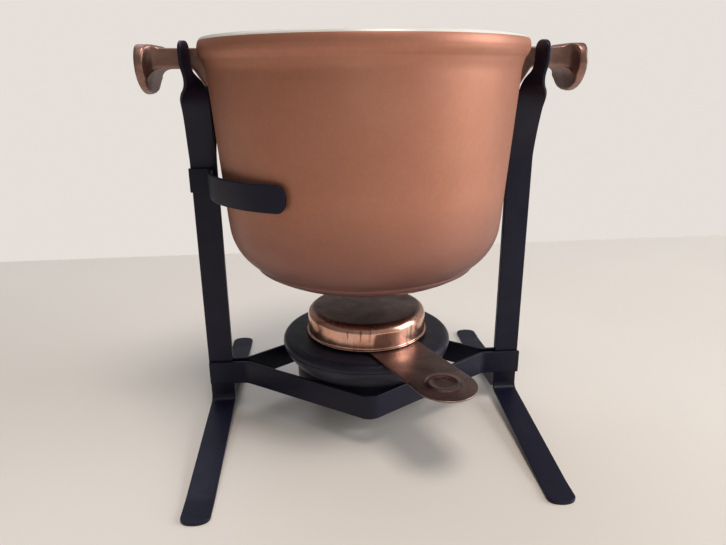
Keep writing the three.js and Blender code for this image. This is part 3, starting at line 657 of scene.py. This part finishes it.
def handle_height(x, y, upper):
    """How far the sheet's face lies above its level at the root."""
    half = HANDLE_HALF
    near = half - abs(y) if x < HANDLE_TIP_X else half - math.hypot(x - HANDLE_TIP_X, y)
    z = -HANDLE_DROOP * (x - HANDLE_INNER)
    if near < EDGE_ROUND:
        fall = 1 - math.sqrt(max(0.0, 1 - (1 - near / EDGE_ROUND) ** 2))
        z += (-0.42 if upper else 0.3) * fall
    d = math.hypot(x - RING_AT, y)
    if d < RING_R + 4:
        z += RING_HEIGHT * math.exp(-((d - RING_R) / RING_WIDTH) ** 2) - 0.12 * smoothstep((6.4 - d) / 2.0)
    return z + 0.12 * math.exp(-((x - 47) / 9) ** 2) * math.cos(y / half * 1.2)


def handle():
    """The handle's sheet: a grid of points above and below, joined round the rim."""
    half = HANDLE_HALF
    stations = list(np.linspace(HANDLE_INNER, HANDLE_TIP_X, 70))
    stations += [HANDLE_TIP_X + half * math.sin(a) for a in np.linspace(0.03, math.pi / 2 - 0.03, 44)]
    columns = np.sin(np.linspace(-math.pi / 2, math.pi / 2, 61))
    c, s = math.cos(HANDLE_TURN), math.sin(HANDLE_TURN)
    verts, faces, rows, n = [], [], len(stations), len(columns)
    for side in (0, 1):
        for x in stations:
            h = half if x <= HANDLE_TIP_X else math.sqrt(max(0.04, half ** 2 - (x - HANDLE_TIP_X) ** 2))
            for q in columns:
                y = h * q
                z = handle_height(x, y, side) + (HANDLE_TOP if side else HANDLE_BOTTOM)
                verts.append((BURNER[0] + c * x - s * y, BURNER[1] + s * x + c * y, z))
    for side in (0, 1):
        o = side * rows * n
        for i in range(rows - 1):
            for k in range(n - 1):
                f = (o + i * n + k, o + (i + 1) * n + k, o + (i + 1) * n + k + 1, o + i * n + k + 1)
                faces.append(f if side else f[::-1])
    rim = [(i, 0) for i in range(rows)] + [(rows - 1, k) for k in range(1, n)]
    rim += [(i, n - 1) for i in range(rows - 2, -1, -1)] + [(0, k) for k in range(n - 2, 0, -1)]
    for (i, k), (j, l) in zip(rim, rim[1:] + rim[:1]):
        a, b = i * n + k, j * n + l
        faces.append((a, b, b + rows * n, a + rows * n))
    return new_object("visual_snuffer_handle", verts, faces)


place(handle(), [HANDLE], "snuffer", "snuffer_handle")

for node, material in (("burner_neck", BURNER_BLACK), ("burner_gauze", GAUZE), ("burner_pad", PAD)):
    obj = bpy.data.objects[node]
    for slot in obj.material_slots:
        slot.material = material

# ---- stage, light and camera: metres, but for the floor's points ---------------------------------
BACK_EDGE_Y, BACK_EDGE_SLOPE = 373.6, 0.0358
back = [(x, BACK_EDGE_Y + BACK_EDGE_SLOPE * x, 0) for x in (4000, -4000)]
front = [(-4000, -4000, 0), (4000, -4000, 0)]
floor = new_object("floor", front + back, [(0, 1, 2, 3)], smooth=False, weighted=False)
m = Nodes("floor_paint")
colour = m.ramp(m.noise(6, 3), [(0.3, (0.83, 0.775, 0.72)), (0.7, (0.85, 0.795, 0.74))])
floor.data.materials.append(m.done(colour, None, None, Roughness=0.55))

# The world lights the set dimly, brighter from the window side, and shows the camera a pale plain wall
world = bpy.data.worlds.new("world")
world.use_nodes = True
tree = world.node_tree
room = tree.nodes["Background"]
room.inputs["Color"].default_value = (0.90, 0.88, 0.85, 1)
coord = tree.nodes.new("ShaderNodeTexCoord")
split = tree.nodes.new("ShaderNodeSeparateXYZ")
tree.links.new(coord.outputs["Generated"], split.inputs[0])
glow = tree.nodes.new("ShaderNodeMapRange")
for key, value in (("From Min", -1.0), ("From Max", 1.0), ("To Min", 0.14), ("To Max", 0.46)):
    glow.inputs[key].default_value = value
tree.links.new(split.outputs["X"], glow.inputs["Value"])
tree.links.new(glow.outputs["Result"], room.inputs["Strength"])
wall = tree.nodes.new("ShaderNodeBackground")
wall.inputs["Color"].default_value = (0.79, 0.74, 0.695, 1)
path = tree.nodes.new("ShaderNodeLightPath")
both = tree.nodes.new("ShaderNodeMixShader")
tree.links.new(path.outputs["Is Camera Ray"], both.inputs["Fac"])
tree.links.new(room.outputs[0], both.inputs[1])
tree.links.new(wall.outputs[0], both.inputs[2])
tree.links.new(both.outputs[0], tree.nodes["World Output"].inputs["Surface"])
bpy.context.scene.world = world


def area(name, at, to, size, power, colour):
    light = bpy.data.lights.new(name, "AREA")
    light.shape = "RECTANGLE"
    light.size, light.size_y = size
    light.energy = power
    light.color = colour
    obj = bpy.data.objects.new(name, light)
    obj.location = at
    obj.rotation_euler = (Vector(to) - Vector(at)).to_track_quat("-Z", "Y").to_euler()
    bpy.context.scene.collection.objects.link(obj)


area("window", (2.2, -0.5, 0.85), (0, 0, 0.12), (1.6, 1.4), 36.0, (0.96, 0.98, 1.0))
area("ceiling", (0.28, -0.62, 2.05), (0.02, -0.05, 0.05), (0.7, 0.7), 18.0, (1.0, 0.92, 0.84))
area("sky", (-0.5, 1.0, 2.0), (-0.05, 0.1, 0), (1.6, 1.3), 10.0, (0.86, 0.93, 1.0))

CAMERA_AT, CAMERA_LENS = Vector((-0.0268, -0.3542, 0.2094)), 29.7372
yaw, pitch, roll = math.radians(4.12), math.radians(18.28), math.radians(-0.42)
forward = Vector((math.sin(yaw) * math.cos(pitch), math.cos(yaw) * math.cos(pitch), -math.sin(pitch)))
right = Vector((math.cos(yaw), -math.sin(yaw), 0))
up = right.cross(forward)
right, up = right * math.cos(roll) + up * math.sin(roll), up * math.cos(roll) - right * math.sin(roll)
data = bpy.data.cameras.new("camera")
data.sensor_width = 36
data.lens = CAMERA_LENS
data.clip_start = 0.01
camera = bpy.data.objects.new("camera", data)
rows = [(right[k], up[k], -forward[k], CAMERA_AT[k]) for k in range(3)]
camera.matrix_world = Matrix(rows + [(0, 0, 0, 1)])
bpy.context.scene.collection.objects.link(camera)
bpy.context.scene.camera = camera
bpy.context.scene.view_settings.view_transform = "Standard"
